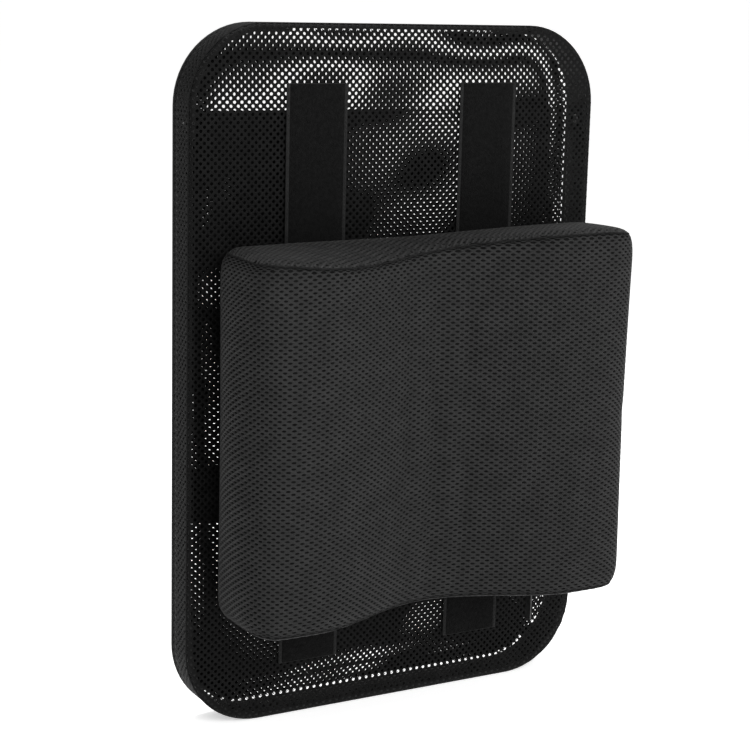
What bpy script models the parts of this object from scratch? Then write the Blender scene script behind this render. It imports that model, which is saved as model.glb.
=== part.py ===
"""Back-support panel with a height-adjustable lumbar cushion, for the back of an office chair.

Metres. +X is the sitter's left when seated (right when looking at the front), +Y points back
into the chair and +Z is up. The origin is the centre of the panel, in the plane of its rear edge.
"""
import math

import bmesh
import bpy
from mathutils import Vector

# Clearances
gap = 0.0003                 # between pieces that touch or are sewn together
slide_play = 0.0004          # pieces that move inside one another
least_radius = 0.0005        # of any drawn-in outline corner

# Panel: a shallow mesh sleeve over a perimeter hoop
panel_width = 0.347
panel_height = 0.525
panel_depth = 0.033
panel_corner = 0.060         # outline corner radius
shoulder = 0.004             # rounding between the front face and the side
mesh_thick = 0.0008          # each mesh layer
piping_radius = 0.0018
backing_drop = 0.062         # from the panel's top to the top edge of the third mesh layer
backing_offset = 0.004       # from the rear mesh to the third layer
rear_dish = 0.012            # how far the rear mesh and third layer curve in towards the front
dish_start = 0.004           # from the panel's outline to where they start to curve
dish_reach = 0.034
dish_steps = 6

# Perimeter hoop inside the sleeve
hoop_thick = 0.0025
hoop_front = 0.0032          # from the front face to the hoop's front edge
hoop_rear = 0.0015           # from the piping to the hoop's rear edge
tongue_length = 0.022
tongue_thick = 0.0016
tongue_root = 0.0015         # how far a tongue starts inside its corner, and stays in from its edges
rivet_radius = 0.0020
rivet_head_radius = 0.0035
rivet_head = 0.0010
rivet_face_radius = 0.00245  # flat top of the head
rivet_inset = 0.012          # from a hoop joint to the rivet

# Hook-and-loop strips
strip_width = 0.050
strip_spacing = 0.1472       # between the strips' centre lines
strip_margin = 0.0425        # from the panel's top and bottom to the strips' ends
loop_thick = 0.0018
hook_thick = 0.0015
hook_length = 0.200

# Cushion
cushion_width = 0.332
cushion_height = 0.280
cushion_wing = 0.080         # thickness at the wings
cushion_centre = 0.046       # thickness at the middle of the recess
wing_reach = 0.112           # from the middle of the recess to the crest of each wing
cushion_shift = 0.006        # sideways place on the strips
cushion_drop = 0.157         # from the panel's top to the cushion's top
cushion_front_corner = 0.026
cushion_rear_corner = 0.012
cushion_edge = 0.010         # rounding of the top and bottom rims
cover_thick = 0.0012
back_margin = 0.016          # from the cushion's rim to the rear panel of its cover

# Zip in the underside of the cover
zip_length = 0.250
zip_from_back = 0.017        # from the cushion's rear face to the middle of the zip
zip_opening = 0.0102
coil_width = 0.0040
coil_proud = 0.0006
coil_thick = 0.0016
zip_slider_length = 0.012
zip_slider_width = 0.0080
zip_slider_thick = 0.0026
zip_slider_rounding = 0.0008
zip_stop_length = 0.0030
zip_end_room = 0.014         # between a closed zip's slider centre and the end of the coil
bail_gap = 0.0022
bail_thick = 0.0011
bail_width = 0.0016
bail_half_length = 0.0051
pull_bar = 0.0011
pull_eye = 0.0062
pull_length = 0.0300
pull_width = 0.0076

# Strap round the chair back
strap_width = 0.038
strap_thick = 0.0015
strap_below_centre = 0.092   # from the panel's middle down to the strap's centre line
anchor_margin = 0.0040       # from the panel's side to an anchor's outer end
anchor_length = 0.012
buckle_width = strap_width + 0.010
buckle_thick = 0.012
buckle_lift = 0.0010         # from the rear mesh to the buckle
buckle_rounding = 0.0020
socket_length = 0.042
socket_wall = 0.0025
socket_mouth = 0.012         # place of the socket's mouth along X
bar_thick = 0.0045
bar_slot = 0.0050
plug_base = 0.0215
prong_length = 0.0240
prong_width = 0.0050
barb = 0.0022                # how far a barb stands out from its prong
barb_start = 0.0084          # from the socket's mouth to where a barb starts
barb_crest = 0.0101          # from the mouth to where it stands out most
slider_place = -0.086        # centre of the strap slider along X
slider_length = 0.026
slider_width = strap_width + 0.008
slider_thick = 0.003
slider_slot = 0.0065
slider_rounding = 0.0010
return_thick = 0.0012

corner_steps = 8             # segments in each panel corner
shoulder_steps = 4

# Worked-out places
half_w = panel_width / 2
half_h = panel_height / 2
front_y = -panel_depth
strip_y = front_y - gap
hook_y = strip_y - loop_thick - gap
back_y = hook_y - hook_thick - gap
cushion_top = half_h - cushion_drop
cushion_bottom = cushion_top - cushion_height
cushion_mid = (cushion_top + cushion_bottom) / 2
zip_y = back_y - zip_from_back
strap_z = -strap_below_centre
strap_reach = half_w - anchor_margin


def clear_scene():
    for old in list(bpy.data.objects):
        bpy.data.objects.remove(old, do_unlink=True)


def material(name, colour, roughness, metallic=0.0):
    made = bpy.data.materials.new(name)
    made.use_nodes = True
    shader = made.node_tree.nodes["Principled BSDF"]
    shader.inputs["Base Color"].default_value = (*colour, 1.0)
    shader.inputs["Roughness"].default_value = roughness
    shader.inputs["Metallic"].default_value = metallic
    return made


def add_object(name, mesh, finish, smooth_angle=None):
    mesh.materials.append(finish)
    if smooth_angle is not None:
        mesh.shade_smooth()
        mesh.set_sharp_from_angle(angle=math.radians(smooth_angle))
    made = bpy.data.objects.new(name, mesh)
    bpy.context.scene.collection.objects.link(made)
    return made


def loft(name, rings, finish, ring_of_rings=False, smooth_angle=35):
    """Skin between rings of points. Open lofts get a flat cap at each end."""
    bm = bmesh.new()
    rows = [[bm.verts.new(point) for point in ring] for ring in rings]
    count = len(rows[0])
    pairs = list(zip(rows, rows[1:]))
    if ring_of_rings:
        pairs.append((rows[-1], rows[0]))
    for a, b in pairs:
        for i in range(count):
            j = (i + 1) % count
            bm.faces.new((a[i], a[j], b[j], b[i]))
    if not ring_of_rings:
        bm.faces.new(rows[0])
        bm.faces.new(rows[-1])
    bmesh.ops.recalc_face_normals(bm, faces=bm.faces)
    mesh = bpy.data.meshes.new(name)
    bm.to_mesh(mesh)
    bm.free()
    return add_object(name, mesh, finish, smooth_angle)


def box(name, low, high, finish):
    """A block between two corners, with its origin at its centre."""
    low, high = Vector(low), Vector(high)
    bm = bmesh.new()
    bmesh.ops.create_cube(bm, size=1.0)
    bmesh.ops.scale(bm, vec=high - low, verts=bm.verts)
    mesh = bpy.data.meshes.new(name)
    bm.to_mesh(mesh)
    bm.free()
    made = add_object(name, mesh, finish)
    made.location = (low + high) / 2
    return made


def bevel(piece, width, segments=1):
    added = piece.modifiers.new("rounding", "BEVEL")
    added.width = width
    added.segments = segments
    added.limit_method = "ANGLE"
    added.angle_limit = math.radians(40)
    return piece


def boolean(piece, tool, operation):
    tool.hide_render = True
    tool.display_type = "WIRE"
    added = piece.modifiers.new(tool.name, "BOOLEAN")
    added.operation = operation
    added.solver = "EXACT"
    added.object = tool


def outline(width, height, radius, inset=0.0, steps=corner_steps):
    """A rounded rectangle in X and Z, drawn in by inset, as (x, z) pairs."""
    points = []
    arc = max(radius - inset, least_radius)
    for sx, sz, turn in ((1, 1, 0), (-1, 1, 90), (-1, -1, 180), (1, -1, 270)):
        centre_x = sx * (width / 2 - inset - arc)
        centre_z = sz * (height / 2 - inset - arc)
        for step in range(steps + 1):
            angle = math.radians(turn + 90 * step / steps)
            points.append((centre_x + arc * math.cos(angle), centre_z + arc * math.sin(angle)))
    return points


def panel_ring(inset, y):
    return [(x, y, z) for x, z in outline(panel_width, panel_height, panel_corner, inset)]


def make_front_mesh(finish):
    """Front face with its rounded shoulder, open towards the hoop."""
    def bend(radius):
        for step in range(shoulder_steps + 1):
            angle = math.pi / 2 * step / shoulder_steps
            yield shoulder - radius * math.sin(angle), front_y + shoulder - radius * math.cos(angle)

    outer = [panel_ring(inset, y) for inset, y in bend(shoulder)]
    inner = [panel_ring(inset, y) for inset, y in bend(shoulder - mesh_thick)]
    return loft("front_mesh", outer + inner[::-1], finish)


def make_side_mesh(finish):
    front = front_y + shoulder + gap
    rear = -2 * piping_radius - gap
    rings = [panel_ring(0, front), panel_ring(0, rear),
             panel_ring(mesh_thick, rear), panel_ring(mesh_thick, front)]
    return loft("side_mesh", rings, finish, ring_of_rings=True)


def dish(inside):
    """How far a rear layer has curved in, at a distance inside the panel's outline."""
    share = min(max((inside - dish_start) / dish_reach, 0.0), 1.0)
    return rear_dish * share * share * (3 - 2 * share)


def make_rear_mesh(finish):
    """Rear layer, stretched flat at its edge and drawn in over the middle."""
    insets = [2 * piping_radius + gap]
    insets += [dish_start + dish_reach * step / dish_steps for step in range(1, dish_steps + 1)]
    rear = [panel_ring(inset, -dish(inset)) for inset in insets]
    front = [panel_ring(inset, -dish(inset) - mesh_thick) for inset in insets]
    return loft("rear_mesh", rear[::-1] + front, finish)


def make_rear_piping(finish):
    """The bound cord that joins the side mesh to the rear mesh."""
    sides = 8
    rings = []
    for step in range(sides):
        angle = 2 * math.pi * step / sides
        rings.append(panel_ring(piping_radius * (1 + math.cos(angle)),
                                piping_radius * (math.sin(angle) - 1)))
    return loft("rear_piping", rings, finish, ring_of_rings=True, smooth_angle=60)


def inside_panel(x, z):
    """Distance of a point inside the panel's outline."""
    past_x = abs(x) - (half_w - panel_corner)
    past_z = abs(z) - (half_h - panel_corner)
    if past_x > 0 and past_z > 0:
        return panel_corner - math.hypot(past_x, past_z)
    return panel_corner - max(past_x, past_z)


def make_backing_mesh(finish):
    """Third layer: it follows the rear mesh inside the sleeve and stops short of the panel's top."""
    rear = -mesh_thick - backing_offset
    inset = mesh_thick + hoop_thick + tongue_thick + rivet_head + 4 * gap
    rise = panel_corner - inset
    levels = [-half_h + inset + rise * step / corner_steps for step in range(corner_steps + 1)]
    levels.append(half_h - backing_drop)
    slices = []
    for z in levels:
        below = max(panel_corner - half_h - z, 0.0)
        edge = half_w - panel_corner + math.sqrt(max(rise * rise - below * below, 0.0))
        across = [edge - dish_reach * step / dish_steps for step in range(dish_steps + 1)]
        across += [-x for x in across[::-1]]
        back = [(x, rear - dish(inside_panel(x, z)), z) for x in across]
        slices.append(back + [(x, y - mesh_thick, z) for x, y, z in back[::-1]])
    return loft("backing_mesh", slices, finish)


def hoop_span():
    """Front and rear limits of the hoop along Y."""
    return front_y + hoop_front, -2 * piping_radius - hoop_rear


def block_between(bm, a, b):
    made = bmesh.ops.create_cube(bm, size=1.0)["verts"]
    low = Vector([min(p, q) for p, q in zip(a, b)])
    high = Vector([max(p, q) for p, q in zip(a, b)])
    bmesh.ops.scale(bm, vec=high - low, verts=made)
    bmesh.ops.translate(bm, vec=(low + high) / 2, verts=made)


def mesh_object(name, bm, finish, smooth_angle=None):
    mesh = bpy.data.meshes.new(name)
    bm.to_mesh(mesh)
    bm.free()
    return add_object(name, mesh, finish, smooth_angle)


def make_rails(finish):
    """Straight rails of flat strip, laid just inside the side mesh."""
    front, rear = hoop_span()
    run_x = half_w - panel_corner - gap / 2
    run_z = half_h - panel_corner - gap / 2
    out_x = half_w - mesh_thick - gap
    out_z = half_h - mesh_thick - gap
    return [
        box("hoop_rail_top", (-run_x, front, out_z - hoop_thick), (run_x, rear, out_z), finish),
        box("hoop_rail_bottom", (-run_x, front, -out_z), (run_x, rear, -out_z + hoop_thick), finish),
        box("hoop_rail_left", (-out_x, front, -run_z), (-out_x + hoop_thick, rear, run_z), finish),
        box("hoop_rail_right", (out_x - hoop_thick, front, -run_z), (out_x, rear, run_z), finish)]


def tongue_ends(sx, sz):
    """Each corner's two joints: point on the rail's inner face, way along the rail, way in."""
    in_x = half_w - mesh_thick - gap - hoop_thick
    in_z = half_h - mesh_thick - gap - hoop_thick
    run_x = half_w - panel_corner
    run_z = half_h - panel_corner
    return ((Vector((sx * run_x, 0, sz * in_z)), Vector((-sx, 0, 0)), Vector((0, 0, -sz))),
            (Vector((sx * in_x, 0, sz * run_z)), Vector((0, 0, -sz)), Vector((-sx, 0, 0))))


def make_corner(name, sx, sz, finish):
    """A curved corner whose two tongues run on along the rails' inner faces."""
    front, rear = hoop_span()
    outer = panel_corner - mesh_thick - gap
    inner = outer - hoop_thick - gap - tongue_thick
    trim = gap / 2 / outer
    rings = []
    for step in range(corner_steps + 1):
        angle = trim + (math.pi / 2 - 2 * trim) * step / corner_steps
        across, up = math.cos(angle), math.sin(angle)
        centre_x = sx * (half_w - panel_corner)
        centre_z = sz * (half_h - panel_corner)
        rings.append([(centre_x + sx * r * across, y, centre_z + sz * r * up)
                      for r, y in ((outer, front), (outer, rear), (inner, rear), (inner, front))])
    corner = loft(name, rings, finish)
    for number, (point, along, inwards) in enumerate(tongue_ends(sx, sz)):
        plate = bmesh.new()
        start = point + inwards * gap - along * tongue_root
        end = point + along * tongue_length + inwards * (gap + tongue_thick)
        block_between(plate, start + Vector((0, front + tongue_root, 0)),
                      end + Vector((0, rear - tongue_root, 0)))
        boolean(corner, mesh_object("%s_tongue_%d" % (name, number), plate, finish), "UNION")
    return corner


def round_bar(bm, start, along, stations, sides=10):
    """A turned bar: stations are distances along it, each with a radius."""
    turn = Vector((0, 0, 1)).rotation_difference(along).to_matrix()
    rows = []
    for distance, radius in stations:
        rows.append([bm.verts.new(start + turn @ Vector((radius * math.cos(2 * math.pi * k / sides),
                                                         radius * math.sin(2 * math.pi * k / sides),
                                                         distance))) for k in range(sides)])
    for a, b in zip(rows, rows[1:]):
        for i in range(sides):
            j = (i + 1) % sides
            bm.faces.new((a[i], a[j], b[j], b[i]))
    bm.faces.new(rows[0])
    bm.faces.new(rows[-1])
    bmesh.ops.recalc_face_normals(bm, faces=bm.faces)


def make_hoop(plastic, steel):
    """Four rails and four corners, with one rivet through each rail and tongue."""
    front, rear = hoop_span()
    rails = make_rails(plastic)
    corners = []
    drill_holes = bmesh.new()
    places = (("top_right", 1, 1), ("top_left", -1, 1),
              ("bottom_left", -1, -1), ("bottom_right", 1, -1))
    for name, sx, sz in places:
        corners.append(make_corner("hoop_corner_" + name, sx, sz, plastic))
        for place, (point, along, inwards) in zip(("end", "side"), tongue_ends(sx, sz)):
            centre = point + along * rivet_inset + Vector((0, (front + rear) / 2, 0))
            outside = centre - inwards * (hoop_thick - gap)
            under_head = hoop_thick + tongue_thick + gap
            rivet = bmesh.new()
            round_bar(rivet, outside, inwards,
                      ((0, rivet_radius), (under_head, rivet_radius),
                       (under_head, rivet_head_radius),
                       (under_head + rivet_head, rivet_face_radius)))
            mesh_object("hoop_rivet_%s_%s" % (name, place), rivet, steel, 35)
            round_bar(drill_holes, outside - inwards * hoop_thick, inwards,
                      ((0, rivet_radius + gap), (4 * hoop_thick, rivet_radius + gap)))
    drill = mesh_object("rivet_drill", drill_holes, steel)
    for piece in rails + corners:
        boolean(piece, drill, "DIFFERENCE")


def make_loop_strip(name, side, finish):
    x = side * strip_spacing / 2
    return box(name, (x - strip_width / 2, strip_y - loop_thick, -half_h + strip_margin),
               (x + strip_width / 2, strip_y, half_h - strip_margin), finish)


def cushion_plan(inset):
    """The cushion seen from above, drawn in by inset all round, as (x, y) pairs."""
    half = cushion_width / 2 - inset
    rear = back_y - inset

    def front(x):
        share = min(abs(x) / wing_reach, 1.0)
        blend = share * share * (3 - 2 * share)
        return back_y - cushion_centre - (cushion_wing - cushion_centre) * blend + inset

    def arc(centre_x, centre_y, radius, start, steps):
        for step in range(steps + 1):
            angle = math.radians(start + 90 * step / steps)
            yield centre_x + radius * math.cos(angle), centre_y + radius * math.sin(angle)

    fore = cushion_front_corner - inset
    aft = max(cushion_rear_corner - inset, least_radius)
    wing = front(half)
    points = list(arc(half - aft, rear - aft, aft, 0, 4))
    points += list(arc(-half + aft, rear - aft, aft, 90, 4))
    points += list(arc(-half + fore, wing + fore, fore, 180, 6))
    span = half - fore
    steps = 26
    points += [(-span + 2 * span * step / steps, front(-span + 2 * span * step / steps))
               for step in range(1, steps)]
    points += list(arc(half - fore, wing + fore, fore, 270, 6))
    return [(x + cushion_shift, y) for x, y in points]


def pad_rings(inset):
    """Rings from the pad's underside to its top, with both rims rounded."""
    steps = 4
    edge = cushion_edge - inset
    low, high = cushion_bottom + inset, cushion_top - inset
    lower, upper = [], []
    for step in range(steps + 1):
        angle = math.pi / 2 * step / steps
        drawn = inset + edge * (1 - math.sin(angle))
        rise = edge * (1 - math.cos(angle))
        plan = cushion_plan(drawn)
        lower.append([(x, y, low + rise) for x, y in plan])
        upper.append([(x, y, high - rise) for x, y in plan])
    return lower + upper[::-1]


def make_cushion(knit, foam):
    """Foam core in a thin cover. The cover's rear panel is a sheet of its own."""
    cover = loft("cushion_cover", pad_rings(0), knit)
    hollow = loft("cover_hollow", pad_rings(cover_thick), knit)
    boolean(cover, hollow, "DIFFERENCE")
    core = loft("foam_core", pad_rings(cover_thick + gap), foam)
    half = cushion_width / 2 - back_margin
    low, high = cushion_bottom + back_margin, cushion_top - back_margin
    window = box("cover_window", (cushion_shift - half, back_y - 2 * cover_thick, low),
                 (cushion_shift + half, back_y + cover_thick, high), knit)
    boolean(cover, window, "DIFFERENCE")
    back = box("cover_back", (cushion_shift - half + gap, back_y - cover_thick + gap, low + gap),
               (cushion_shift + half - gap, back_y, high - gap), knit)
    slot = box("zip_cut", (cushion_shift - zip_length / 2 - gap, zip_y - zip_opening / 2,
                           cushion_bottom - cover_thick),
               (cushion_shift + zip_length / 2 + gap, zip_y + zip_opening / 2,
                cushion_bottom + 1.5 * cover_thick), knit)
    boolean(cover, slot, "DIFFERENCE")
    return cover, core, back


def make_hook_strip(name, side, finish):
    x = side * strip_spacing / 2
    return box(name, (x - strip_width / 2, hook_y - hook_thick, cushion_mid - hook_length / 2),
               (x + strip_width / 2, hook_y, cushion_mid + hook_length / 2), finish)


def make_zip(tape_finish, coil_finish, metal):
    half = zip_length / 2
    low = cushion_bottom
    for name, side in (("zip_tape_front", -1), ("zip_tape_rear", 1)):
        inner = side * (coil_width / 2 + gap)
        outer = side * (zip_opening / 2 - gap)
        box(name, (cushion_shift - half, zip_y + min(inner, outer), low),
            (cushion_shift + half, zip_y + max(inner, outer), low + cover_thick - gap), tape_finish)
    run = half - zip_stop_length - gap
    box("zip_coil", (cushion_shift - run, zip_y - coil_width / 2, low - coil_proud),
        (cushion_shift + run, zip_y + coil_width / 2, low - coil_proud + coil_thick), coil_finish)
    for name, side in (("zip_stop_top", 1), ("zip_stop_bottom", -1)):
        a = cushion_shift + side * (run + gap)
        b = cushion_shift + side * half
        box(name, (min(a, b), zip_y - coil_width / 2, low - 2 * coil_proud),
            (max(a, b), zip_y + coil_width / 2, low - coil_proud + coil_thick), metal)


def make_zip_slider(metal):
    """Slider under the coil with an arched bail, and the pull whose bar runs under the arch."""
    x = cushion_shift + zip_length / 2 - zip_end_room
    top = cushion_bottom - coil_proud - gap
    bottom = top - zip_slider_thick
    body = bevel(box("zip_slider", (x - zip_slider_length / 2, zip_y - zip_slider_width / 2, bottom),
                     (x + zip_slider_length / 2, zip_y + zip_slider_width / 2, top), metal),
                 zip_slider_rounding, 2)
    arch_low = bottom - bail_gap - bail_thick
    arch = box("bail", (x - bail_half_length, zip_y - bail_width / 2, arch_low),
               (x + bail_half_length, zip_y + bail_width / 2, bottom + bail_thick / 2), metal)
    boolean(body, arch, "UNION")
    space = box("bail_space", (x - bail_half_length + bail_thick, zip_y - bail_width,
                               bottom - bail_gap),
                (x + bail_half_length - bail_thick, zip_y + bail_width, bottom), metal)
    boolean(body, space, "DIFFERENCE")

    axis = Vector((x, zip_y, bottom - bail_gap / 2))
    tag = box("zip_pull", (-pull_bar / 2, -pull_width / 2, -pull_length),
              (pull_bar / 2, pull_width / 2, pull_bar / 2), metal)
    tag.location = axis + tag.location
    centre = tag.location.copy()
    for corner in tag.data.vertices:
        corner.co += centre - axis
    tag.location = axis
    eye_half = bail_width / 2 + slide_play
    eye = box("pull_eye", (x - pull_width, zip_y - eye_half, axis.z - pull_eye),
              (x + pull_width, zip_y + eye_half, axis.z - pull_bar / 2), metal)
    boolean(tag, eye, "DIFFERENCE")
    return body, tag


def make_strap(web):
    """Webbing anchors, elastic halves and the doubled end that the slider holds."""
    low, high = strap_z - strap_width / 2, strap_z + strap_width / 2
    near, far = gap, gap + strap_thick
    socket_end = socket_mouth - socket_length
    plug_end = socket_mouth + gap + plug_base
    for name, side in (("strap_anchor_left", -1), ("strap_anchor_right", 1)):
        ends = sorted((side * strap_reach, side * (strap_reach - anchor_length)))
        box(name, (ends[0], near, low), (ends[1], far, high), web)
    inner = strap_reach - anchor_length - gap
    box("elastic_strap_left", (-inner, near, low), (socket_end - gap, far, high), web)
    box("elastic_strap_right", (plug_end + gap, near, low), (inner, far, high), web)
    lift = far + gap + slider_thick + gap
    box("strap_return", (slider_place, lift, low), (socket_end - gap, lift + return_thick, high), web)


def make_strap_slider(plastic):
    """Three-bar slider that sets the strap's length."""
    y = gap + strap_thick + gap
    made = bevel(box("strap_slider",
                     (slider_place - slider_length / 2, y, strap_z - slider_width / 2),
                     (slider_place + slider_length / 2, y + slider_thick, strap_z + slider_width / 2),
                     plastic), slider_rounding)
    for number, side in enumerate((-1, 1)):
        x = slider_place + side * (slider_slot / 2 + bar_thick / 2)
        half = strap_width / 2 + slide_play
        cut = box("slider_slot_%d" % number, (x - slider_slot / 2, y - slider_thick, strap_z - half),
                  (x + slider_slot / 2, y + 2 * slider_thick, strap_z + half), plastic)
        boolean(made, cut, "DIFFERENCE")
    return made


def make_socket(plastic):
    """Buckle socket: a strap bar at one end, a mouth for the plug at the other."""
    low_y, high_y = buckle_lift, buckle_lift + buckle_thick
    half = buckle_width / 2
    rear = socket_mouth - socket_length
    made = bevel(box("buckle_socket", (rear, low_y, strap_z - half),
                     (socket_mouth, high_y, strap_z + half), plastic), buckle_rounding, 2)
    slot_half = strap_width / 2 + slide_play
    slot = box("socket_bar_slot", (rear + bar_thick, low_y - bar_slot, strap_z - slot_half),
               (rear + bar_thick + bar_slot, high_y + bar_slot, strap_z + slot_half), plastic)
    boolean(made, slot, "DIFFERENCE")
    cavity_end = socket_mouth - prong_length - 2 * slide_play
    cavity = box("socket_cavity", (cavity_end, low_y + socket_wall, strap_z - half + 2 * socket_wall),
                 (socket_mouth + socket_wall, high_y - socket_wall, strap_z + half - 2 * socket_wall),
                 plastic)
    boolean(made, cavity, "DIFFERENCE")
    window = box("socket_window", (cavity_end + 2 * slide_play, low_y + 1.5 * socket_wall,
                                   strap_z - half - socket_wall),
                 (socket_mouth - 3 * socket_wall, high_y - 1.5 * socket_wall,
                  strap_z + half + socket_wall), plastic)
    boolean(made, window, "DIFFERENCE")
    return made


def make_plug(plastic):
    """Buckle plug: strap bar, guide tongue and two barbed prongs that lie inside the socket."""
    low_y, high_y = buckle_lift, buckle_lift + buckle_thick
    half = buckle_width / 2
    base = socket_mouth + gap
    made = bevel(box("buckle_plug", (base, low_y, strap_z - half),
                     (base + plug_base, high_y, strap_z + half), plastic), buckle_rounding, 2)
    slot_half = strap_width / 2 + slide_play
    end = base + plug_base - bar_thick
    slot = box("plug_bar_slot", (end - bar_slot, low_y - bar_slot, strap_z - slot_half),
               (end, high_y + bar_slot, strap_z + slot_half), plastic)
    boolean(made, slot, "DIFFERENCE")
    inner_low = low_y + socket_wall + slide_play
    inner_high = high_y - socket_wall - slide_play
    root = base + 3 * socket_wall
    reach = half - 2 * socket_wall - slide_play - barb
    fingers = bmesh.new()
    block_between(fingers, (socket_mouth - prong_length, inner_low, strap_z - prong_width),
                  (root, inner_high, strap_z + prong_width))
    tongue = mesh_object("plug_tongue", fingers, plastic)
    boolean(made, tongue, "UNION")
    for name, side in (("upper", 1), ("lower", -1)):
        arm = [(root, side * reach), (socket_mouth - barb_start, side * reach),
               (socket_mouth - barb_crest, side * (reach + barb)),
               (socket_mouth - prong_length, side * (reach - barb)),
               (socket_mouth - prong_length, side * (reach - prong_width)),
               (root, side * (reach - prong_width))]
        rings = [[(x, y, strap_z + z) for x, z in arm] for y in (inner_low, inner_high)]
        boolean(made, loft("prong_" + name, rings, plastic), "UNION")
    return made


def main():
    clear_scene()
    black_mesh = material("mesh knit", (0.012, 0.012, 0.013), 0.75)
    air_knit = material("cover knit", (0.020, 0.020, 0.021), 0.8)
    foam = material("foam", (0.55, 0.53, 0.45), 0.9)
    loop_pile = material("loop pile", (0.008, 0.008, 0.008), 0.95)
    hook_tape = material("hook tape", (0.010, 0.010, 0.010), 0.7)
    webbing = material("webbing", (0.010, 0.010, 0.011), 0.85)
    black_plastic = material("moulded plastic", (0.012, 0.012, 0.012), 0.45)
    hoop_plastic = material("hoop plastic", (0.015, 0.015, 0.016), 0.5)
    steel = material("steel", (0.42, 0.42, 0.43), 0.35, 1.0)
    zip_metal = material("black zip metal", (0.03, 0.03, 0.03), 0.35, 0.9)

    make_front_mesh(black_mesh)
    make_side_mesh(black_mesh)
    make_rear_mesh(black_mesh)
    make_backing_mesh(black_mesh)
    make_rear_piping(webbing)
    make_hoop(hoop_plastic, steel)
    for name, side in (("left", -1), ("right", 1)):
        make_loop_strip("loop_strip_" + name, side, loop_pile)
        make_hook_strip("hook_strip_" + name, side, hook_tape)
    make_cushion(air_knit, foam)
    make_zip(webbing, black_plastic, zip_metal)
    make_zip_slider(zip_metal)
    make_strap(webbing)
    make_strap_slider(black_plastic)
    make_socket(black_plastic)
    make_plug(black_plastic)


main()
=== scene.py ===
import math

import bpy
import numpy as np
from mathutils import Matrix, Vector
from mathutils.bvhtree import BVHTree
from mathutils.kdtree import KDTree


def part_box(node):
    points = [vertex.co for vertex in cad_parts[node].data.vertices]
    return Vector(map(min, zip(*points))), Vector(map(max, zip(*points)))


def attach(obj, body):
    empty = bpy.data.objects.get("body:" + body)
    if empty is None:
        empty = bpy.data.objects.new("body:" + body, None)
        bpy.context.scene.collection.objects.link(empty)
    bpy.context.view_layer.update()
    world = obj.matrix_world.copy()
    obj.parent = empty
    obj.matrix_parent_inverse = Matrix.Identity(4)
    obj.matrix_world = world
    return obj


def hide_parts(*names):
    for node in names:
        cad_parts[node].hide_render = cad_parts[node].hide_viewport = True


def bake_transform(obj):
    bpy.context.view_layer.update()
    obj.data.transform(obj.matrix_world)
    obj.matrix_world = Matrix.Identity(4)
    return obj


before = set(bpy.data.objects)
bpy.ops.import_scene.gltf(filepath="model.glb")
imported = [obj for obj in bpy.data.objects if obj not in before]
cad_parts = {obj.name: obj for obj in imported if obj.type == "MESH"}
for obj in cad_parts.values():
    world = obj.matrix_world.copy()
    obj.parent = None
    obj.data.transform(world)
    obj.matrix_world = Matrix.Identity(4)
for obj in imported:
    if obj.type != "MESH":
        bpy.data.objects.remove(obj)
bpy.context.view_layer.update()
scene = bpy.context.scene
print("frame loaded,", len(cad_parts), "nodes")

# Panel facts, from the frame
panelLow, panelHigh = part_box("side_mesh")
halfWidth = panelHigh.x
halfHeight = panelHigh.z
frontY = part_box("front_mesh")[0].y
cornerRadius = 0.060          # the panel's outline
shoulder = 0.004              # rounding from the front face to the side


# ---- Camera and light ----

cameraFacts = {
    "place": (-0.7144, -1.2509, 0.2887),
    "yaw": 29.72,
    "pitch": 11.66,
    "roll": 1.41,
    "lens": 90.05,
}


def makeCamera(facts):
    yaw, pitch, roll = (math.radians(facts[name]) for name in ("yaw", "pitch", "roll"))
    forward = Vector((math.sin(yaw) * math.cos(pitch), math.cos(yaw) * math.cos(pitch), -math.sin(pitch)))
    across = Vector((math.cos(yaw), -math.sin(yaw), 0))
    up = across.cross(forward)
    right = across * math.cos(roll) + up * math.sin(roll)
    top = up * math.cos(roll) - across * math.sin(roll)
    turn = Matrix((right, top, -forward)).transposed()
    data = bpy.data.cameras.new("camera")
    data.lens = facts["lens"]
    data.sensor_width = 36
    camera = bpy.data.objects.new("camera", data)
    camera.matrix_world = Matrix.Translation(facts["place"]) @ turn.to_4x4()
    scene.collection.objects.link(camera)
    scene.camera = camera


lightFacts = {
    "world": 0.55,
    "key": {"place": (-0.05, -2.0, 1.2), "size": 1.3, "power": 34},
    "top": {"place": (0.25, 0.30, 1.75), "size": 1.2, "power": 26},
    "fill": {"place": (1.7, -1.2, 0.6), "size": 1.0, "power": 7},
}


def makeLights(facts):
    for name in ("key", "top", "fill"):
        data = bpy.data.lights.new(name, "AREA")
        data.size = facts[name]["size"]
        data.energy = facts[name]["power"]
        lamp = bpy.data.objects.new(name, data)
        lamp.location = facts[name]["place"]
        lamp.rotation_euler = (-Vector(facts[name]["place"])).to_track_quat("-Z", "Y").to_euler()
        scene.collection.objects.link(lamp)
    world = bpy.data.worlds.new("studio")
    world.use_nodes = True
    back = world.node_tree.nodes["Background"]
    back.inputs["Color"].default_value = (1, 1, 1, 1)
    back.inputs["Strength"].default_value = facts["world"]
    scene.world = world
    scene.view_settings.view_transform = "Standard"


def makeFloor():
    bpy.ops.object.select_all(action="DESELECT")
    bpy.ops.mesh.primitive_plane_add(size=600, location=(0, 0, panelLow.z - 0.0005))
    floor = bpy.context.active_object
    floor.name = "floor"
    white = bpy.data.materials.new("pale floor")
    white.use_nodes = True
    shader = white.node_tree.nodes["Principled BSDF"]
    shader.inputs["Base Color"].default_value = (0.93, 0.93, 0.93, 1)
    shader.inputs["Roughness"].default_value = 0.9
    shader.inputs["Emission Color"].default_value = (1, 1, 1, 1)
    shader.inputs["Emission Strength"].default_value = 0.50
    floor.data.materials.append(white)


makeCamera(cameraFacts)
makeLights(lightFacts)
makeFloor()
print("camera, lights and floor")


# ---- Finishes ----

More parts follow.
